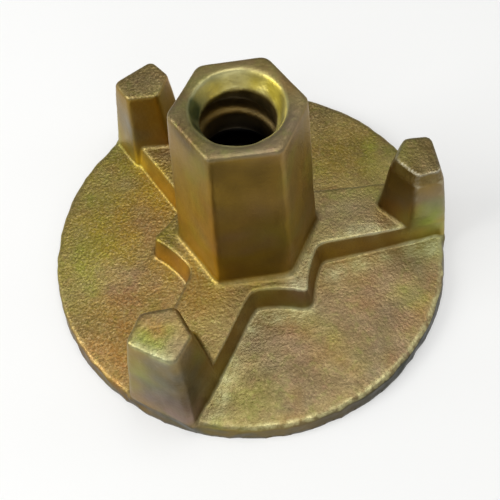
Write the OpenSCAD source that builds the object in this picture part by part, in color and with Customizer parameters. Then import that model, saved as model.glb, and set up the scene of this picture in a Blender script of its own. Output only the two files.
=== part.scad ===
// Formwork wing nut: one casting, a threaded hexagon hub on a round pressure
// disc, with three radial ribs that each end in an upright striking lug.
// Millimetres, +Z up along the bore, flat foot of the disc at z = 0.

/* [Pressure disc] */
// outside diameter of the pressure disc at its foot
disc_d = 100; // [92:1:110]
// thickness of the pressure disc
disc_t = 4.6; // [3.5:0.1:7]
// how far the drafted rim leans in over the thickness
rim_lean = 0.6; // [0.2:0.1:1.2]
// rounding of the rim's top edge
rim_round = 0.8; // [0.3:0.1:1.2]

/* [Ribs and core] */
// height of the ribs and of the core above the disc
rib_rise = 7.2; // [5:0.1:9]
// width of a rib's top, measured 20 mm from the axis
rib_w = 15.4; // [13:0.1:17]
// angle at which each side of a rib closes towards the rim
rib_taper = 2; // [1:0.1:4]
// smallest radius of the core's top between rib and lobe
core_waist = 18.1; // [17.8:0.1:19]
// reach of the pointed lobe between two ribs, at its top
lobe_reach = 22.9; // [21.5:0.1:24]
// radius of the lobe's point, at its top
lobe_round = 1; // [0.6:0.1:1.6]
// radius of the hollow flanks of the core
scoop_r = 26; // [22:1:36]
// radius in the inner corner between rib and core flank
corner_r = 3.2; // [2.6:0.1:4]
// how far the rib and core walls lean out down to the disc
wall_run = 1.3; // [0.8:0.1:1.8]
// rounding of the top edges of ribs and core
rib_round = 0.5; // [0.4:0.1:1]
// hollow fillet where the walls meet the disc
rib_fillet = 0.8; // [0.4:0.1:1.2]

/* [Striking lugs] */
// height of the lug tops above the foot of the disc
lug_top = 29.8; // [26:0.1:34]
// distance from the nut's axis to the lug's middle
lug_place = 40; // [38:0.1:41]
// half length of a lug on its outer side, at its top
lug_out = 5.1; // [4.4:0.1:5.5]
// half width of a lug at its middle, at its top
lug_side = 6.1; // [5:0.1:6.6]
// half length of a lug on its two inner faces, at its top
lug_in = 4.9; // [4.4:0.1:5.6]
// angle at which each side of a lug closes outwards
lug_taper = 3.4; // [1:0.1:5]
// turn of each inner face off the rib's line
lug_nose = 55; // [50:0.5:62]
// draft of the outer lug face
lug_out_draft = 9.5; // [7:0.1:10]
// draft of the side faces of the lug
lug_side_draft = 5.2; // [3:0.1:6]
// draft of the two inner lug faces
lug_in_draft = 3.6; // [1:0.1:5]
// radius of the upright lug edges
lug_edge = 1.5; // [1.2:0.1:2]
// height of the rounded top edge on the other two lugs
lug_cap = 0.9; // [0.6:0.1:2]
// height of the bevel dressed on the first lug
lug_bevel = 2.6; // [1.5:0.1:3]
// how far the rounded lug top edges step in
lug_inset = 0.6; // [0.4:0.1:1.2]
// how far that bevel steps in
bevel_inset = 1.1; // [0.6:0.1:1.4]
// extra draft on the clockwise side face of the bevelled lug
lean_a = 2; // [0:0.1:4]
// extra draft on the anticlockwise side face of the third lug
lean_c = 3.8; // [0:0.1:5]
// extra draft on the inner face beside it
lean_d = 4; // [0:0.1:6]
// how much further the third lug's nose reaches to the hub
nose_c = 0.5; // [0:0.1:1]

// turn of the bevelled lug off its rib, as cast
drift_a = 1.3; // [-3:0.1:3]
// turn of the second lug off its rib, as cast
drift_b = 1.2; // [-3:0.1:3]
// turn of the third lug off its rib, as cast
drift_c = -2.5; // [-3:0.1:3]

/* [Hexagon hub] */
// overall height of the nut
hub_top = 56.4; // [50:0.1:62]
// width across flats at the hub's top
hub_flats = 25.1; // [24:0.1:27]
// draft of the hub's faces
hub_draft = 3.2; // [2:0.1:3.6]
// turn of the hub against the ribs
hub_turn = -1; // [-3:0.5:3]
// radius of the hub's upright edges
hub_edge = 2.3; // [1.5:0.1:3]
// rounding of the hub's top rim
hub_round = 0.8; // [0.4:0.1:1.2]
// hollow fillet at the foot of the hub
hub_fillet = 1.5; // [0.8:0.1:1.8]

/* [Threaded bore] */
// core diameter of the tie-rod thread
bore_d = 15.2; // [14.8:0.1:15.6]
// diameter at the bottom of the thread groove
thread_d = 17.4; // [16.8:0.1:17.8]
// rise of the right-hand thread in one turn
thread_pitch = 10; // [8:0.5:12]
// width of the thread groove at the bore wall
groove_w = 4.8; // [3.6:0.1:5]
// width of the thread groove at its bottom
groove_floor = 2.4; // [1.4:0.1:2.6]
// turn of the thread about the axis
thread_turn = 170; // [0:10:350]
// diameter of the flared mouth at the hub's top
mouth_d = 19.6; // [18.4:0.1:20.6]
// depth of the flared mouth
mouth_deep = 4; // [2.5:0.1:5]
// depth of the bevel at the bore's lower end
foot_bevel = 1.5; // [1.2:0.1:2.5]

/* [Hidden] */
drift = [drift_a, drift_b, drift_c];
lean = [[0, 0, 0, 0, lean_a], [0, 0, 0, 0, 0], [0, lean_c, lean_d, 0, 0]];
lug_rounded = [for (a = [0:30:90]) [lug_top - lug_cap * (1 - sin(a)), lug_inset * (1 - cos(a))]];
lug_bevelled = [[lug_top - lug_bevel, 0], [lug_top, bevel_inset]];
wings = len(drift);
step = 360 / wings;
disc_r = disc_d / 2;
rib_top = disc_t + rib_rise;
bury = 0.8;
sink = 0.1;
lug_root = 1;
round_steps = 4;

// rib side line, scoop circle, inner corner circle and lobe circle of one sixth
rib_n = 90 - rib_taper;
rib_p = 20 * cos(rib_n) + rib_w / 2 * sin(rib_n);
lobe_c = lobe_reach - lobe_round;
scoop_c = core_waist + scoop_r;
scoop_gap = acos((pow(scoop_c, 2) + pow(lobe_c, 2) - pow(scoop_r + lobe_round, 2)) / (2 * scoop_c * lobe_c));
scoop_at = scoop_c * [cos(step / 2 - scoop_gap), sin(step / 2 - scoop_gap)];
lobe_at = lobe_c * [cos(step / 2), sin(step / 2)];
rib_dir = [cos(rib_n), sin(rib_n)];
off_line = scoop_at * rib_dir - rib_p - corner_r;
along = sqrt(pow(scoop_r - corner_r, 2) - pow(off_line, 2));
corner_at = scoop_at - off_line * rib_dir - along * [rib_dir[1], -rib_dir[0]];
corner_end = atan2(corner_at[1] - scoop_at[1], corner_at[0] - scoop_at[0]);
lobe_end = atan2(lobe_at[1] - scoop_at[1], lobe_at[0] - scoop_at[0]);
rib_end = lug_place + 3;

function spread(a, b, n) = [for (k = [0:n]) a + (b - a) * k / n];
function at(c, r, a) = [c[0] + r * cos(a), c[1] + r * sin(a)];
function turned(p, a) = [p[0] * cos(a) - p[1] * sin(a), p[0] * sin(a) + p[1] * cos(a)];
function mirrored(l) = [for (i = [len(l) - 1:-1:0]) [l[i][0], -l[i][1]]];
function up(a) = a < 0 ? a + 360 : a;

// one sixth of the core outline from rib to lobe, pushed out by d
function sixth(d) = concat(
    [[rib_end, (rib_p + d - rib_end * cos(rib_n)) / sin(rib_n)]],
    [for (a = spread(rib_n + 180, up(corner_end), 6)) at(corner_at, corner_r - d, a)],
    [for (a = spread(up(corner_end), up(lobe_end), 6)) if (a != up(corner_end)) at(scoop_at, scoop_r - d, a)],
    [for (a = spread(up(lobe_end) - 180, step / 2, 4)) if (a != up(lobe_end) - 180) at(lobe_at, lobe_round + d, a)]);
// whole core outline, three ribs with a lobe between each two
function core_ring(d) = let (s = sixth(d), m = mirrored(s), w = concat([for (i = [1:len(m) - 1]) m[i]], s))
    [for (k = [0:wings - 1]) for (p = w) turned(p, k * step)];

// meeting point of two lines given by normal angle and distance
function meet(a, p, b, q) = [p * sin(b) - q * sin(a), q * cos(a) - p * cos(b)] / sin(b - a);
// closed ring of straight sides with rounded corners of radius r
function ring(n, d, r, k) = [for (i = [0:len(n) - 1])
    let (j = (i + 1) % len(n), c = meet(n[i], d[i] - r, n[j], d[j] - r), s = up(n[j] - n[i]))
    for (m = [0:k]) at(c, r, n[i] + s * m / k)];

// closed body through a stack of rings with equal counts round the local axis
module stack(rings, z) {
    c = len(rings[0]);
    t = len(rings);
    polyhedron(
        points = concat(
            [for (i = [0:t - 1]) for (p = rings[i]) [p[0], p[1], z[i]]],
            [[0, 0, z[0]], [0, 0, z[t - 1]]]),
        faces = concat(
            [for (i = [0:c - 1]) [c * t, i, (i + 1) % c]],
            [for (i = [0:c - 1]) [c * t + 1, (t - 1) * c + (i + 1) % c, (t - 1) * c + i]],
            [for (k = [0:t - 2]) for (i = [0:c - 1])
                let (j = (i + 1) % c) [k * c + i, (k + 1) * c + i, (k + 1) * c + j, k * c + j]]));
}

// round disc with a drafted rim and a rounded top edge
module disc() {
    straight = disc_t - rim_round;
    top_r = disc_r - rim_lean;
    mid_r = top_r - 0.3 * rim_round;
    cylinder(h = straight, r1 = disc_r, r2 = top_r, $fn = 96);
    translate([0, 0, straight]) cylinder(h = rim_round / 2, r1 = top_r, r2 = mid_r, $fn = 96);
    translate([0, 0, straight + rim_round / 2]) cylinder(h = rim_round / 2, r1 = mid_r, r2 = top_r - rim_round, $fn = 96);
}

// three ribs and the lobed core between them, with drafted and filleted walls
module ribs() {
    lean = wall_run / rib_rise;
    low = [for (a = [90:-30:0]) [disc_t - sink + rib_fillet * (1 - sin(a)), wall_run + rib_fillet * (1 - cos(a))]];
    edge = [for (a = [0:30:90]) [rib_top - rib_round * (1 - sin(a)), rib_round * lean - rib_round * (1 - cos(a))]];
    prof = concat([[disc_t - bury, wall_run + rib_fillet]], low, edge);
    stack([for (p = prof) core_ring(p[1])], [for (p = prof) p[0]]);
}

// one upright lug on the end of a rib, its nose turned to the hub; edge lists the height and
// the step of its top edge, share how much of that step each of its five sides takes, lean
// the extra draft of each side and nose the extra reach of the two inner faces
module lug(edge, share, lean, nose) {
    side_n = 90 - lug_taper;
    n = [0, side_n, 90 + lug_nose, 270 - lug_nose, 360 - side_n];
    draft = [lug_out_draft, lug_side_draft, lug_in_draft, lug_in_draft, lug_side_draft];
    base = [lug_out, lug_side, lug_in + nose, lug_in + nose, lug_side];
    toe = disc_t - 1.6 * sink;
    foot = [for (a = [90:-30:0]) [toe + rib_fillet * (1 - sin(a)), -rib_fillet * (1 - cos(a))]];
    prof = concat([[lug_root, -rib_fillet]], foot, edge);
    // the outer face has no fillet, it runs down flush into the rim
    soft = [0, 1, 1, 1, 1];
    translate([lug_place, 0, 0])
        stack([for (p = prof) ring(n, [for (i = [0:4]) base[i] + tan(draft[i] + lean[i]) * (lug_top - max(p[0], toe))
            - p[1] * (p[1] < 0 ? soft[i] : share[i])], lug_edge, round_steps)], [for (p = prof) p[0]]);
}

// drafted hexagon with soft upright edges, a filleted foot and a rounded rim
module hub() {
    n = [for (k = [0:5]) 30 + 60 * k];
    low = [for (a = [90:-30:0]) [rib_top - sink + hub_fillet * (1 - sin(a)), -hub_fillet * (1 - cos(a))]];
    edge = [for (a = [0:30:90]) [hub_top - hub_round * (1 - sin(a)), hub_round * (1 - cos(a))]];
    prof = concat([[rib_top - bury, -hub_fillet]], low, edge);
    rotate([0, 0, hub_turn]) stack([for (p = prof) ring(n, [for (i = [0:5]) hub_flats / 2 + tan(hub_draft) * (hub_top - p[0]) - p[1]],
        hub_edge, round_steps)], [for (p = prof) p[0]]);
}

// helical cutter for one right-hand thread groove
module groove() {
    seg = 36;
    deep = 0.7;
    slope = (groove_w - groove_floor) / (thread_d - bore_d);
    r = [bore_d / 2 - deep, thread_d / 2, thread_d / 2, bore_d / 2 - deep];
    h = [-groove_w / 2 - deep * slope, -groove_floor / 2, groove_floor / 2, groove_w / 2 + deep * slope];
    turns = ceil((hub_top + 2 * groove_w) / thread_pitch) + 1;
    count = turns * seg;
    polyhedron(
        points = [for (i = [0:count]) let (t = (i + 0.5) / seg) for (k = [0:3])
            [r[k] * cos(360 * t), r[k] * sin(360 * t), h[k] + thread_pitch * (t - 1)]],
        faces = concat(
            [[3, 2, 1, 0]],
            [[4 * count, 4 * count + 1, 4 * count + 2, 4 * count + 3]],
            [for (i = [0:count - 1]) for (k = [0:3]) let (j = (k + 1) % 4)
                [4 * i + k, 4 * i + j, 4 * i + 4 + j]],
            [for (i = [0:count - 1]) for (k = [0:3]) let (j = (k + 1) % 4)
                [4 * i + k, 4 * i + 4 + j, 4 * i + 4 + k]]));
}

// threaded bore with a flared mouth and a bevelled foot
module bore() {
    foot_r = thread_d / 2 + 0.3;
    lip = 1;
    flare = (mouth_d - bore_d) / 2 / mouth_deep;
    bevel = (foot_r - bore_d / 2) / foot_bevel;
    translate([0, 0, -1]) cylinder(h = hub_top + 2, d = bore_d, $fn = 72);
    translate([0, 0, hub_top - mouth_deep])
        cylinder(h = mouth_deep + lip, r1 = bore_d / 2, r2 = mouth_d / 2 + lip * flare, $fn = 72);
    translate([0, 0, -lip]) cylinder(h = foot_bevel + lip, r1 = foot_r + lip * bevel, r2 = bore_d / 2, $fn = 72);
    rotate([0, 0, thread_turn]) groove();
}

// the whole casting
module wing_nut() {
    color([0.62, 0.55, 0.24])
    difference() {
        union() {
            disc();
            ribs();
            for (k = [0:wings - 1]) rotate([0, 0, k * step + drift[k]])
                lug(k == 0 ? lug_bevelled : lug_rounded, k == 0 ? [0.4, 0.4, 0.4, 1, 1] : [1, 1, 1, 1, 1],
                    lean[k], k == 2 ? nose_c : 0);
            hub();
        }
        bore();
    }
}

wing_nut();
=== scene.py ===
"""Formwork wing nut: one yellow-passivated iron casting on a pale studio floor."""
import math

import bpy
import numpy as np
from mathutils import Matrix, Vector


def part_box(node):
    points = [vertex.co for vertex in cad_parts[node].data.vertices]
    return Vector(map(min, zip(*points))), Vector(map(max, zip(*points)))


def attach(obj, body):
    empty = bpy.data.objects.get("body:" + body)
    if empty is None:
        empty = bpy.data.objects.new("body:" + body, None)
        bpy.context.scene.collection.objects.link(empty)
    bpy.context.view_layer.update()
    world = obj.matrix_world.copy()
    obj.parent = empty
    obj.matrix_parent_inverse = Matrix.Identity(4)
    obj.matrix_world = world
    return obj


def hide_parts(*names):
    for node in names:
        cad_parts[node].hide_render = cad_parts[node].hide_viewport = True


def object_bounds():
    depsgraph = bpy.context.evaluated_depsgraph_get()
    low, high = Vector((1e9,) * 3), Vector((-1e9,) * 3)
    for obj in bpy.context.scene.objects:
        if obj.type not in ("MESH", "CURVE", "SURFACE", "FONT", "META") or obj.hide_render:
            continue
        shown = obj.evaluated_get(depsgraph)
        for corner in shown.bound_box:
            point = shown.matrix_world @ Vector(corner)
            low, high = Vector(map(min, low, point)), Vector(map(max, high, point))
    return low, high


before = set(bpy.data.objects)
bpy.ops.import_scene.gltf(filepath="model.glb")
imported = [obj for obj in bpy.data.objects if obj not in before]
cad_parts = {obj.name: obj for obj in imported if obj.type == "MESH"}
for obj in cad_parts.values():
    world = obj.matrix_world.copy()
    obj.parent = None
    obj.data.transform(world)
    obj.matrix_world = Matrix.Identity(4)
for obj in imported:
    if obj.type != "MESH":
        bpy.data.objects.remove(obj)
cad_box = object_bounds()


# ---------------------------------------------------------------- camera
# A short portrait lens looks down on the nut from 60 degrees above the floor,
# one lug to the right and one towards the viewer, slightly rolled.

MM = 0.001
CAMERA_AZIMUTH = math.radians(-3.4)
CAMERA_RISE = math.radians(60.06)
CAMERA_ROLL = math.radians(-4.8)
CAMERA_REACH = 179.15 * MM
CAMERA_AIM = (0.08 * MM, -8.81 * MM, 14.93 * MM)
FOCAL_LENGTH = 54.265
SENSOR_WIDTH = 36


def aimed(azimuth, rise, roll, reach, aim):
    """Camera matrix: it stands reach back from aim along the rise angle, turned by roll
    about its own line of sight, and the whole is turned by azimuth about the nut's axis."""
    back = Vector((0, -math.cos(rise), math.sin(rise)))
    right = Vector((1, 0, 0))
    up = Vector((0, math.sin(rise), math.cos(rise)))
    side = right * math.cos(roll) + up * math.sin(roll)
    top = up * math.cos(roll) - right * math.sin(roll)
    pose = Matrix((side, top, back)).transposed().to_4x4()
    pose.translation = Vector(aim) + back * reach
    return Matrix.Rotation(azimuth, 4, "Z") @ pose


lens = bpy.data.cameras.new("camera")
lens.lens = FOCAL_LENGTH
lens.sensor_width = SENSOR_WIDTH
lens.clip_start = 0.01
lens.clip_end = 20
camera = bpy.data.objects.new("camera", lens)
camera.matrix_world = aimed(CAMERA_AZIMUTH, CAMERA_RISE, CAMERA_ROLL, CAMERA_REACH, CAMERA_AIM)
bpy.context.scene.collection.objects.link(camera)
bpy.context.scene.camera = camera
bpy.context.scene.view_settings.view_transform = "Standard"


# ---------------------------------------------------------------- floor and light
# A matt white sheet under the nut, the main soft box at its left, a second one
# above it, faint ones in front and at the right, and a dim even room.

FLOOR_COLOUR = "#cfcfcd"
FLOOR_HALF = 3.0
FLOOR_LIFT = 0.315
ROOM_COLOUR = "#f4f5f6"
ROOM_STRENGTH = 0.40
LAMP_AIM = Vector((0, 0, 0.02))


def linear(code):
    """sRGB hex to linear RGBA: under 0.04045 a channel is divided by 12.92, over it
    the 2.4 power curve."""
    part = np.array([int(code[i:i + 2], 16) for i in (1, 3, 5)]) / 255
    part = np.where(part <= 0.04045, part / 12.92, ((part + 0.055) / 1.055) ** 2.4)
    return (*part.tolist(), 1.0)


def add(tree, kind, settings=None, sockets=None):
    """Adds one node: settings are its own properties, sockets give an input by name or
    number a value or another node's output."""
    made = tree.nodes.new(kind)
    for name, value in (settings or {}).items():
        setattr(made, name, value)
    for name, value in (sockets or {}).items():
        if isinstance(value, bpy.types.NodeSocket):
            tree.links.new(value, made.inputs[name])
        else:
            made.inputs[name].default_value = value
    return made


def skin(name, points, faces):
    """A mesh object from an array of points and an array of faces with equal corners,
    smooth all over."""
    mesh = bpy.data.meshes.new(name)
    mesh.from_pydata(points.tolist(), [], faces.tolist())
    mesh.shade_smooth()
    made = bpy.data.objects.new(name, mesh)
    bpy.context.scene.collection.objects.link(made)
    return made


corner = np.array([[-1, -1], [1, -1], [1, 1], [-1, 1]]) * FLOOR_HALF
floor = skin("floor", np.column_stack([corner, np.full(4, cad_box[0].z)]), np.array([[0, 1, 2, 3]]))

# matt white paper: even and without gloss. It glows a little for the camera and
# for what the metal mirrors, so that the ground is pale and keeps a soft shadow
paper = bpy.data.materials.new("matt_white_paper")
paper.use_nodes = True
tree = paper.node_tree
tree.nodes.clear()
ray = add(tree, "ShaderNodeLightPath").outputs
seen = add(tree, "ShaderNodeMath", {"operation": "MAXIMUM"},
           {0: ray["Is Camera Ray"], 1: ray["Is Glossy Ray"]}).outputs[0]
seen = add(tree, "ShaderNodeMath", {"operation": "MAXIMUM"},
           {0: seen, 1: ray["Is Transmission Ray"]}).outputs[0]
lift = add(tree, "ShaderNodeMath", {"operation": "MULTIPLY"}, {0: seen, 1: FLOOR_LIFT}).outputs[0]
matt = add(tree, "ShaderNodeBsdfDiffuse", None, {"Color": linear(FLOOR_COLOUR)}).outputs[0]
glow = add(tree, "ShaderNodeEmission", None, {"Color": (1, 1, 1, 1), "Strength": lift}).outputs[0]
both = add(tree, "ShaderNodeAddShader", None, {0: matt, 1: glow}).outputs[0]
add(tree, "ShaderNodeOutputMaterial", None, {"Surface": both})
floor.data.materials.append(paper)

world = bpy.data.worlds.new("room")
bpy.context.scene.world = world
world.use_nodes = True
tree = world.node_tree
tree.nodes.clear()
room = add(tree, "ShaderNodeBackground", None,
           {"Color": linear(ROOM_COLOUR), "Strength": ROOM_STRENGTH}).outputs[0]
add(tree, "ShaderNodeOutputWorld", None, {"Surface": room})

for name, place, size, watts in (
    ("box_above", (0.03, 0.02, 0.62), 0.45, 1.45),
    ("box_left", (-0.55, -0.08, 0.42), 0.40, 2.7),
    ("box_front", (0.10, -0.66, 0.34), 0.45, 0.40),
    ("box_right", (0.65, 0.10, 0.42), 0.40, 0.35),
):
    lamp = bpy.data.lights.new(name, "AREA")
    lamp.size = size
    lamp.energy = watts
    held = bpy.data.objects.new(name, lamp)
    held.location = place
    held.rotation_euler = (LAMP_AIM - Vector(place)).to_track_quat("-Z", "Y").to_euler()
    bpy.context.scene.collection.objects.link(held)


# ---------------------------------------------------------------- casting
# The whole nut is one sand casting in malleable iron: disc, three ribs, three
# upright lugs and the hexagon hub. Its edges are soft and a little uneven, its
# top faces show the mould's sand, and the coarse thread is cast in, not cut.

# squares of this side keep the casting under 200,000 triangles
VOXEL = 0.58 * MM
WELD = 0.002 * MM
SOFTEN_ROUNDS = 1
MOUTH_ROUNDS = 8
HUB_EDGE_ROUNDS = 9

# how high and how long the skin's waves, ripples, lumps and nibbles are, and how
# far it is drawn in all over
WAVE_HEIGHT = 0.085 * MM
WAVE_LENGTH = 14 * MM
RIPPLE_HEIGHT = 0.015 * MM
RIPPLE_LENGTH = 2.4 * MM
FLARE_HEIGHT = 0.07 * MM
FLARE_LENGTH = 4 * MM
RIM_HEIGHT = 0.22 * MM
RIM_LENGTH = 7 * MM
SHRINK = 0.05 * MM

# heights over the foot and distances from the axis that the skin and its finish
# follow are in millimetres
RIB_TOP = 11.8
DISC_TOP = 4.6
MOUTH_RADIUS = 9.8
FLARE_FOOT = 52.2

low, high = (np.array(c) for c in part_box("wing_nut"))


def joined_copy(node):
    """The node's skin as an even mesh of squares: its loose triangles are merged where
    their corners meet, and each corner is then drawn back on to the skin."""
    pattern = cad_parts[node]
    made = bpy.data.objects.new("mould", pattern.data.copy())
    bpy.context.scene.collection.objects.link(made)
    weld = made.modifiers.new("weld", "WELD")
    weld.merge_threshold = WELD
    even = made.modifiers.new("even", "REMESH")
    even.mode = "VOXEL"
    even.voxel_size = VOXEL
    snug = made.modifiers.new("snug", "SHRINKWRAP")
    snug.target = pattern
    graph = bpy.context.evaluated_depsgraph_get()
    fine = bpy.data.meshes.new_from_object(made.evaluated_get(graph))
    bpy.data.objects.remove(made)
    return fine


def corners_of(mesh):
    """Points, and four corners a face, of an all-quad mesh."""
    points = np.empty(len(mesh.vertices) * 3)
    mesh.vertices.foreach_get("co", points)
    corner = np.empty(len(mesh.loops), np.int64)
    mesh.loops.foreach_get("vertex_index", corner)
    return points.reshape(-1, 3), corner.reshape(-1, 4)


def neighbour_mean(values, faces):
    """Mean of each point's neighbours along the faces' sides: both ways round each side,
    summed and divided by their count."""
    here = faces.ravel()
    beside = np.roll(faces, -1, axis=1).ravel()
    start, end = np.concatenate([here, beside]), np.concatenate([beside, here])
    count = np.bincount(start, minlength=len(values))
    total = [np.bincount(start, column[end], len(values)) for column in values.T]
    return np.column_stack(total) / count[:, None]


def outward(points, faces):
    """Unit normal of each point: the cross product of each face's diagonals, summed on
    its corners."""
    held = points[faces]
    cross = np.cross(held[:, 2] - held[:, 0], held[:, 3] - held[:, 1])
    corner = faces.ravel()
    total = [np.bincount(corner, np.repeat(part, 4), len(points)) for part in cross.T]
    total = np.column_stack(total)
    return total / np.linalg.norm(total, axis=1)[:, None]


def unevenness(points, size, seed, waves=56):
    """Sum of plane waves in seeded directions with lengths of 0.7 to 1.5 times size,
    scaled to about -1 to 1."""
    dice = np.random.default_rng(seed)
    way = dice.normal(size=(waves, 3))
    lengths = size * dice.uniform(0.7, 1.5, waves) * np.linalg.norm(way, axis=1)
    way *= (2 * np.pi / lengths)[:, None]
    total = np.zeros(len(points))
    for k in range(waves):
        total += np.cos(points @ way[k] + dice.uniform(0, 2 * np.pi))
    return total / math.sqrt(waves)


def softened(points, faces, rounds):
    """Each round moves a point by 0.55 of its way to the mean of its neighbours, then by
    0.30 of the way from it, so edges round off and the volume stays."""
    for _ in range(rounds):
        points = points + 0.55 * (neighbour_mean(points, faces) - points)
        points = points - 0.30 * (neighbour_mean(points, faces) - points)
    return points


def ramp(value, start, end):
    """Straight line from 0 at start to 1 at end, held at 0 and 1 outside them."""
    return np.clip((value - start) / (end - start), 0, 1)


def reach_of(points):
    """Distance from the axis and height over the foot, in millimetres."""
    return np.hypot(points[:, 0], points[:, 1]) / MM, (points[:, 2] - low[2]) / MM


def drawn_in(points, height, start, end, near, far):
    """Moves a wall's foot, given by two (x, y), to its left by near at the start and far
    at the end, in millimetres: full at the foot, a quarter from the rib's top up, gone
    under 1.5 mm and over 16 mm, and fading as a bell curve of 4 mm to both sides."""
    fade = 4
    start, end = np.array(start), np.array(end)
    length = np.linalg.norm(end - start)
    along = (end - start) / length
    side = np.array([-along[1], along[0]])
    offset = points[:, :2] / MM - start
    run = offset @ along
    share = ramp(run, -fade, 0) * ramp(length - run, -fade, 0)
    share *= ramp(height, RIB_TOP, DISC_TOP) * 0.75 + 0.25
    share *= ramp(height, 16, 13) * ramp(height, 1.5, 4)
    share *= np.exp(-(offset @ side / fade) ** 2)
    moved = points.copy()
    moved[:, :2] += side * (share * (near + (far - near) * ramp(run, 0, length)) * MM)[:, None]
    return moved


cast = joined_copy("wing_nut")
points, faces = corners_of(cast)
bpy.data.meshes.remove(cast)

# rubbed edges with their painted highlights, the painted reflected light in inner corners and the
# painted shade in the hub's foot are read from the bend of the crisp skin
normal = outward(points, faces)
bend = np.sum((points - neighbour_mean(points, faces)) * normal, axis=1) / VOXEL
points = softened(points, faces, SOFTEN_ROUNDS)

# the edge inside the flared mouth is rounder than the rest
radius, height = reach_of(points)
inner_edge = np.exp(-((radius - MOUTH_RADIUS) / 1.4) ** 2) * ramp(height, 50, 52)
points += inner_edge[:, None] * (softened(points, faces, MOUTH_ROUNDS) - points)

# so is the hub's top edge, most of all at the left
radius, height = reach_of(points)
outer_edge = ramp(height, 53.5, 54.5) * ramp(radius, 11, 12)
outer_edge *= 0.35 + 0.65 * ramp(points[:, 0] / MM, -4, -7)
points += outer_edge[:, None] * (softened(points, faces, HUB_EDGE_ROUNDS) - points)

normal = outward(points, faces)
radius, height = reach_of(points)
in_bore = ramp(radius, 10.4, 9.6)
in_thread = ramp(radius, 9.6, 9.1) * ramp(height, 52.6, 51.1)
in_flare = ramp(radius, 10.1, 9.6) * ramp(height, FLARE_FOOT, FLARE_FOOT + 0.8)
on_rim = ramp(radius, 47.5, 49.1) * ramp(height, 7, 5)

# two rib walls stand steeper than their pattern: the right rib's in front and
# the front rib's at its right
points = drawn_in(points, height, (17, -11), (47, -7.5), 0, 2.0)
points = drawn_in(points, height, (-16, -47), (-3, -22), 0.7, 0.4)

# long waves of the mould and ripples on what looks up, both calmer in the bore,
# lumps in the flare, and a rim nibbled by the shot blast
wave = unevenness(points, WAVE_LENGTH, seed=3) * WAVE_HEIGHT
ripple = unevenness(points, RIPPLE_LENGTH, seed=8) * RIPPLE_HEIGHT
ripple *= 0.15 + 0.85 * np.clip(normal[:, 2], 0, 1)
lumps = unevenness(points, FLARE_LENGTH, seed=12) * FLARE_HEIGHT * in_flare
calm = 1 - 0.7 * in_bore
points = points + normal * ((wave + ripple) * calm + lumps - SHRINK)[:, None]
nibble = np.abs(unevenness(points, RIM_LENGTH, seed=21)) * RIM_HEIGHT * on_rim
points[:, :2] *= (1 - nibble / (np.maximum(radius, 1) * MM))[:, None]

# the foot stands flat, and nothing leaves the pattern's own box
points = np.clip(points, low, high)
points[height < 0.5, 2] = low[2]

normal = outward(points, faces)
face_up = np.clip(normal[:, 2], 0, 1)
azimuth = np.arctan2(points[:, 1], points[:, 0])
casting = skin("casting", points, faces)


def carry(name, values):
    """Keeps one number a point on the casting, for its finish to read."""
    kept = casting.data.attributes.new(name, "FLOAT", "POINT")
    kept.data.foreach_set("value", values.astype(np.float32))


def bloom(size, seed, drift, spots):
    """Sum of soft round spots, each (x, y, z, radius, strength) in millimetres, and of
    patches of a size that drift everywhere: exp of minus the squared distance over the
    squared radius, made a little uneven."""
    total = np.clip(unevenness(points, size * MM, seed) - 0.35, 0, 1) * drift
    for x, y, z, reach, strength in spots:
        away = ((points - np.array([x, y, z]) * MM) ** 2).sum(axis=1)
        total = total + strength * np.exp(-away / (reach * MM) ** 2)
    return np.clip(total * (0.85 + 0.25 * unevenness(points, 6 * MM, seed + 1)), 0, 1)


# the parts of the skin that wear, films, painted light and painted shade keep to
on_hub = ramp(radius, 17, 16) * ramp(height, 12.5, 13.5)
# the hub's front face and its foot take brown painted shade
hub_front = ramp(-normal[:, 1], 0.88, 0.96) * on_hub
hub_foot = ramp(-bend, 0.04, 0.04 + 1 / 6) * ramp(radius, 22, 20) * ramp(height, 10.5, 11.5)
right_lug = ramp(points[:, 0] / MM, 33, 34) * ramp(height, 22, 23)
lit_side = np.clip((points[:, 1] - points[:, 0]) / (20 * MM), -1, 1)
rim_front = ramp(np.cos(azimuth + math.radians(56)), 0.62, 0.62 + 1 / 6)
rim_right = np.clip(2 * np.cos(azimuth + math.radians(45)) - 1, 0, 1)

carry("face_up", face_up)
# painted reflected light in the inner corners
carry("hollow", ramp(-bend, 0.10, 0.35))
carry("thread", in_thread)
# painted shadow deep in the bore
carry("deep", in_thread * ramp(height, 44, 38))
# the flare takes painted light and painted shade
carry("flare", in_flare)
# painted shade on the mouth's inner edge
carry("mouth", inner_edge)
carry("sand", face_up * np.maximum(ramp(radius, 9, 17), 0.15) * (0.75 + 0.25 * lit_side))
# painted shade on the rim's side; a painted highlight on its lip
carry("rim", on_rim * ramp(height, 5.6, 4.6) * np.maximum(
    0.84 * ramp(normal[:, 2], 0.625, 0), rim_right * ramp(normal[:, 2], 0.85, 0.55)))
carry("lip", ramp(radius, 47.6, 48.3) * ramp(height, 3.5, 3.9) * ramp(height, 5.1, 4.8)
      * ramp(face_up, 0.4, 0.4 + 1 / 3) * rim_front)

# edges rubbed bright, and painted highlights along them: hub, front lug, right lug, right rib
wear_and_highlight = ramp(radius, 10.8, 11.6) * bloom(18, 11, 0.3, (
    (-5, -12.5, 56, 4, 0.35), (0, -12.8, 56, 4, 0.35), (5, -13, 56, 4, 0.35),
    (-22, -39, 29.5, 6, 1),
    (38, -3, 27, 7, 1), (43, -5, 27, 6, 1),
    (20, -5, 12, 5, 0.9), (27, -6, 12, 5, 0.9), (34, -7, 12, 5, 0.9)))
carry("edge", ramp(bend + 0.06 * right_lug, 0.10, 0.30) * (0.08 + 0.92 * wear_and_highlight))
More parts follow.
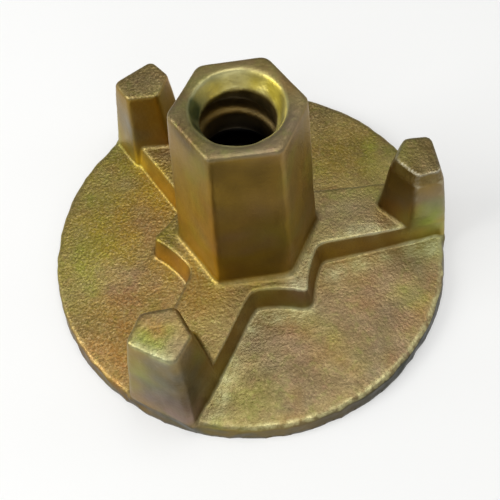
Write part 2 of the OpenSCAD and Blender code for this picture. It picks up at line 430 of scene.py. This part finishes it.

# painted light: pale strips of reflected light along the feet of the walls and painted highlights
# along their tops: front rib, right rib's foot, lobe's foot, right rib's top, lobe's top, front
# lug's top
carry("painted_wall_light", ramp(face_up, 0, 0.5) * bloom(15, 17, 0.05, (
    (-5.6, -28, 4.8, 1.6, 0.3), (-7.6, -32, 4.8, 1.8, 0.55), (-9.6, -36, 4.8, 2, 0.7),
    (-11.6, -40, 4.8, 2, 0.6), (-13.4, -43.5, 4.8, 2.2, 0.6),
    (20, -12.4, 4.6, 2.6, 0.6), (26, -11, 4.6, 2.6, 0.5), (33, -9.8, 4.6, 2.6, 0.5),
    (40, -8.6, 4.6, 2.6, 0.7), (46, -7.6, 4.6, 3, 1), (44, -11, 4.6, 3.5, 0.6),
    (-2.5, -24, 4.6, 2.2, 0.7), (0.5, -21.5, 4.6, 2.2, 0.6), (4, -22, 4.6, 2.4, 0.7),
    (8, -22, 4.6, 2.4, 0.7), (12, -21, 4.6, 2.6, 0.5),
    (17, -8.5, 11.8, 2, 0.6), (21, -7.5, 11.8, 2, 0.5), (26, -6.4, 11.8, 2.4, 0.8),
    (31, -6.8, 11.8, 2.4, 0.8), (36, -7.2, 11.8, 2.4, 0.8),
    (10, -19, 11.8, 4, 0.9), (3, -19, 11.8, 2, 0.3), (14, -13, 11.8, 3, 0.5),
    (-26.3, -36, 29.8, 1.6, 0.7), (-24, -38.3, 29.8, 1.6, 0.8), (-21.5, -40, 29.8, 1.8, 0.8))))

# inside the flare: painted light in clear yellow at the right and back, painted shade in dark green
# at the left
carry("sunny", bloom(9, 37, 0.2, (
    (5.5, 7, 54, 4, 0.9), (8.5, 2, 54, 4, 0.75), (8, -4, 54, 3, 0.6), (-3, 9, 54, 2.5, 0.35))))
carry("shade", bloom(15, 23, 0.1, (
    (-9, 2, 54, 4.5, 1.1), (-8, -3, 54, 4, 0.8), (-4, 9.5, 55.5, 2.5, 0.3))))

# painted light: bright straw where the rib walls catch the light: core's hollow, right rib, rear
# rib
carry("glint", bloom(15, 19, 0.05, (
    (-22, -2, 8, 4, 0.3), (-18, -8, 9, 3, 0.5),
    (23, -9.5, 8.5, 3.5, 0.6), (30, -9, 8.5, 3.5, 0.5), (37, -8.5, 8.5, 3.5, 0.5),
    (44, -8, 8, 3.5, 0.6),
    (-27, 27, 7, 3.5, 0.9), (-23.5, 21, 8, 3.5, 0.8), (-20, 16, 8, 3.5, 0.7))))

# gold tone on the disc, core's hollow, hub and right lug, and painted light on the walls of the
# rear rib and the right rib
carry("gold", bloom(20, 71, 0.2, (
    (-32, 24, 5, 12, 0.7), (-34, 6, 5, 12, 0.7), (-30, -8, 5, 9, 0.5), (-44, 6, 5, 9, 0.4),
    (30, 24, 5, 13, 0.6), (-24, 17, 8, 8, 0.8), (-20, -4, 8.5, 6, 1.0),
    (-14, -6, 20, 12, 0.7), (0, -14, 14, 11, 0.8), (35.5, -3, 18, 6, 0.7),
    (22, -8, 8, 4, 0.7), (31, -8, 8, 4, 0.7), (39, -8, 8, 4, 0.6))))

# dull drab tone, and painted shade on the front of the disc: disc, right rib and lug, front lug,
# hub's top, rear lug
carry("dull", (1 - 0.85 * hub_front) * bloom(20, 83, 0.2, (
    (40, -14, 5, 9, 0.6), (36, -26, 5, 12, 0.6), (22, -38, 5, 12, 0.7),
    (2, -42, 5, 11, 0.7), (0, -30, 5, 9, 0.4),
    (27, -2, 12, 10, 0.5), (44, -5, 20, 9, 1.0), (-21, -42, 16, 9, 0.6),
    (0, -10, 56, 9, 0.7), (-9, 3, 56, 7, 0.5), (-27, 30, 17, 5.5, 1.2), (-29, 31, 9, 4, 0.6))))

# grey zinc: front lug, rear lug, right lug, hub's top
carry("grey", (1 - 0.85 * hub_front) * bloom(17, 29, 0.1, (
    (-21, -42, 21, 9, 1.0), (-25, -40, 11, 8, 0.8), (-21, -38.5, 29.5, 4, 0.5),
    (-27, 32, 20, 6, 0.5), (45, -4, 19, 8, 0.8),
    (0, -11, 56, 6, 0.4), (-14, 2, 56, 5, 0.3), (10, -4, 56, 6, 0.4))))

# brown painted shade: hub, front lug, right and rear lug tops, disc, hub's top edge,
# core's hollow
carry("brown", np.clip(0.58 * hub_front + 0.5 * hub_foot + bloom(15, 97, 0.1, (
    (-5, -12.7, 51, 6, 0.3), (4, -12.9, 51, 6, 0.3), (0, -14.4, 20, 8, 0.1),
    (-18, -43.5, 14, 7, 0.9), (-19, -42, 22, 5, 0.5), (-24, -42, 15, 8, 0.35),
    (41, 0, 30, 7, 0.9), (-20, 36, 30, 6, 0.3),
    (30, 25, 5, 14, 0.4), (23, 40, 5, 6, 0.3), (12, 40, 5, 10, 0.3), (-31, -21, 5, 6, 0.3),
    (8, -37, 5, 9, 0.38), (24, -31, 5, 9, 0.34), (-4, -40, 5, 7, 0.38), (36, -22, 5, 8, 0.12),
    (-11, 3, 56, 4, 0.3), (-12.5, -4, 56, 3, 0.8), (-10, -8, 56, 3, 0.8),
    (-7.5, -11.5, 56, 3, 0.6),
    (-20.5, -3.5, 8.5, 4, 0.3), (-19.5, -3, 11.8, 2.5, 0.5), (-20, -1, 11.8, 2.5, 0.5))), 0, 1))

# green: front lug, disc, right lug, flare, hub
carry("green", bloom(13, 31, 0.36, (
    (-25.4, -34.2, 30, 2, 1.0), (-22.3, -36.6, 30, 2, 0.8), (-19.6, -33.5, 30, 1.8, 0.5),
    (-27, -39, 20, 5, 0.6),
    (-44, 2, 5, 11, 0.6), (-34, 26, 5, 9, 0.6), (47, -9, 5, 5, 0.5), (-8, -42, 5, 8, 0.3),
    (42, 21, 5, 6, 0.4), (36, 20, 5, 7, 0.3),
    (43, -8, 13, 5, 0.8), (-6, 7, 54, 4, 0.5), (5, -13, 30, 6, 0.3))))

# orange: disc, front rib, flare, front lug's top, right lug
carry("orange", bloom(13, 43, 0.4, (
    (-36, -29, 5, 11, 0.9), (-30, -13, 5, 9, 0.75), (-26, 10, 5, 8, 0.7),
    (28, -16, 5, 7, 0.35), (14, -34, 5, 8, 0.3),
    (-16, -20, 12, 7, 0.4), (9, 3, 54, 4, 0.6), (-22.3, -32.6, 30, 2.3, 1.7),
    (36, -4, 14, 4, 0.6))))

# violet: front lug's foot, disc, right rib, hub, core's top
carry("violet", bloom(19, 57, 0.35, (
    (-20, -44, 9, 6, 1.0),
    (15, -25, 5, 14, 0.4), (30, -14, 5, 10, 0.3), (-28, -2, 5, 6, 0.35),
    (-29, 20, 5, 5, 0.3), (-27, 10, 5, 5, 0.35), (-26, -7, 4.6, 3.5, 0.4),
    (25, 2, 12, 8, 0.3), (4, -13, 40, 5, 0.3),
    (10, -19, 11.8, 4, 0.5), (-4, -17.5, 11.8, 4, 0.4))))


# yellow passivated zinc over as-cast iron: a thin chromate film that drifts
# between straw, yellow-green, orange and violet, half matt, bright where worn, with painted
# highlights, reflected light and shade laid into its colour.
# Moulding sand of 0.2 to 0.3 mm is too fine to show, so its grain is drawn at
# 0.55 to 0.7 mm.
SAND_GRAIN = 0.7 * MM
SAND_DEPTH = 0.5 * MM
DRAWN_UP = (1, 1, 0.45)

zinc = bpy.data.materials.new("yellow_passivated_zinc")
zinc.use_nodes = True
tree = zinc.node_tree
tree.nodes.clear()
place = add(tree, "ShaderNodeTexCoord").outputs["Object"]
drawn = add(tree, "ShaderNodeVectorMath", {"operation": "MULTIPLY"},
            {0: place, 1: DRAWN_UP}).outputs[0]

# every number that the casting's points carry, by its name
carried = {kept.name: add(tree, "ShaderNodeAttribute", {"attribute_name": kept.name}).outputs["Fac"]
           for kept in casting.data.attributes if kept.data_type == "FLOAT"}


def cloud(size, start, end, low=0.0, high=1.0):
    """Noise of a size in millimetres, drawn out upwards, that runs from low to high
    as it goes from start to end; its size also picks its own slice of the field."""
    noise = add(tree, "ShaderNodeTexNoise", {"noise_dimensions": "4D"}, {
        "Vector": drawn, "W": 7.3 * size, "Scale": 1 / (size * MM), "Detail": 4,
        "Roughness": 0.6}).outputs[0]
    return add(tree, "ShaderNodeMapRange", None, {
        "Value": noise, "From Min": start, "From Max": end,
        "To Min": low, "To Max": high}).outputs[0]


# the coat itself: drab on what lies flat; warmer and more saturated on the walls, which paints in
# part the reflection of the bright disc that they face
top_coat = add(tree, "ShaderNodeMix", {"data_type": "RGBA"}, {
    0: cloud(12, 0.38, 0.64), 6: linear("#a3915f"), 7: linear("#8c7b48")}).outputs[2]
wall_coat_and_reflection = add(tree, "ShaderNodeMix", {"data_type": "RGBA"}, {
    0: cloud(16, 0.38, 0.64), 6: linear("#a88632"), 7: linear("#8f7430")}).outputs[2]
lies_flat = add(tree, "ShaderNodeMapRange", None, {
    "Value": carried["face_up"], "From Min": 0.25, "From Max": 0.75}).outputs[0]
colour = add(tree, "ShaderNodeMix", {"data_type": "RGBA"},
             {0: lies_flat, 6: wall_coat_and_reflection, 7: top_coat}).outputs[2]

# each tint is laid over what is under it, where it lies and by its share
for tint, lies, share in (
    # films of the bath with painted light and shade among them, from the broad ones to the local
    # ones
    ("#b3931f", carried["gold"], 0.75),
    ("#877a61", carried["dull"], 0.8),
    ("#dcb94c", carried["glint"], 0.85),
    ("#a5763a", carried["orange"], 0.85),
    ("#6f6d62", carried["grey"], 0.8),
    ("#97a53c", carried["green"], 0.75),
    ("#997a76", carried["violet"], 0.7),
    ("#4a3a1c", carried["brown"], 0.75),
    # fine mottle and sand grain of what lies flat
    ("#86a03c", lies_flat, cloud(2.3, 0.52, 0.72, 0, 0.2)),
    ("#b0716a", lies_flat, cloud(2.7, 0.52, 0.72, 0, 0.16)),
    ("#4c3c08", carried["sand"], cloud(0.55, 0.42, 0.62, 0, 0.40)),
    ("#dcc48e", carried["sand"], cloud(0.65, 0.50, 0.66, 0, 0.34)),
    # painted reflected light in corners and along the walls, rubbed edges with painted highlights,
    # painted shade on the rim's side and a painted highlight on its lip
    ("#c6bc68", carried["hollow"], 0.12),
    ("#cdcf9e", carried["painted_wall_light"], cloud(1.6, 0.32, 0.6, 0.3, 0.85)),
    ("#d2ccb4", carried["edge"], cloud(2.4, 0.30, 0.56, 0.3, 0.95)),
    ("#303128", carried["rim"], 1.0),
    ("#dad39a", carried["lip"], cloud(1.4, 0.40, 0.62, 0.05, 0.75)),
    # flare painted pale as if lit, painted shade on the mouth's edge, thread, and painted shadow
    # deep in the bore
    ("#efe7a6", carried["flare"], cloud(4, 0.34, 0.6, 0.6, 0.95)),
    ("#e0cb4a", carried["flare"], carried["sunny"]),
    ("#4f5a36", carried["flare"], carried["shade"]),
    ("#5a583c", carried["mouth"], 0.3),
    ("#9a875e", carried["thread"], 0.7),
    ("#0c0a08", carried["deep"], 1.0),
):
    cover = add(tree, "ShaderNodeMath", {"operation": "MULTIPLY", "use_clamp": True},
                {0: lies, 1: share}).outputs[0]
    colour = add(tree, "ShaderNodeMix", {"data_type": "RGBA"},
                 {0: cover, 6: colour, 7: linear(tint)}).outputs[2]

sand = add(tree, "ShaderNodeTexNoise", None, {
    "Vector": place, "Scale": 1 / SAND_GRAIN, "Detail": 2, "Roughness": 0.5}).outputs[0]
depth = add(tree, "ShaderNodeMapRange", None, {
    "Value": carried["sand"], "To Min": 0.1, "To Max": 0.42}).outputs[0]
relief = add(tree, "ShaderNodeBump", None, {
    "Strength": depth, "Distance": SAND_DEPTH, "Height": sand}).outputs[0]

# the flare is smoother than the rest, and less metal, so that its painted light shows matt
smooth = add(tree, "ShaderNodeMapRange", None, {
    "Value": carried["flare"], "To Min": 1, "To Max": 0.8}).outputs[0]
gloss = add(tree, "ShaderNodeMath", {"operation": "MULTIPLY", "use_clamp": True},
            {0: cloud(3, 0.35, 0.65, 0.38, 0.50), 1: smooth}).outputs[0]
metal = add(tree, "ShaderNodeMapRange", None, {
    "Value": carried["flare"], "To Min": 1, "To Max": 0.72}).outputs[0]
film = add(tree, "ShaderNodeBsdfPrincipled", None, {
    "Base Color": colour, "Metallic": metal, "Roughness": gloss, "Normal": relief}).outputs[0]
add(tree, "ShaderNodeOutputMaterial", None, {"Surface": film})
casting.data.materials.append(zinc)

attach(casting, "root")
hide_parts("wing_nut")
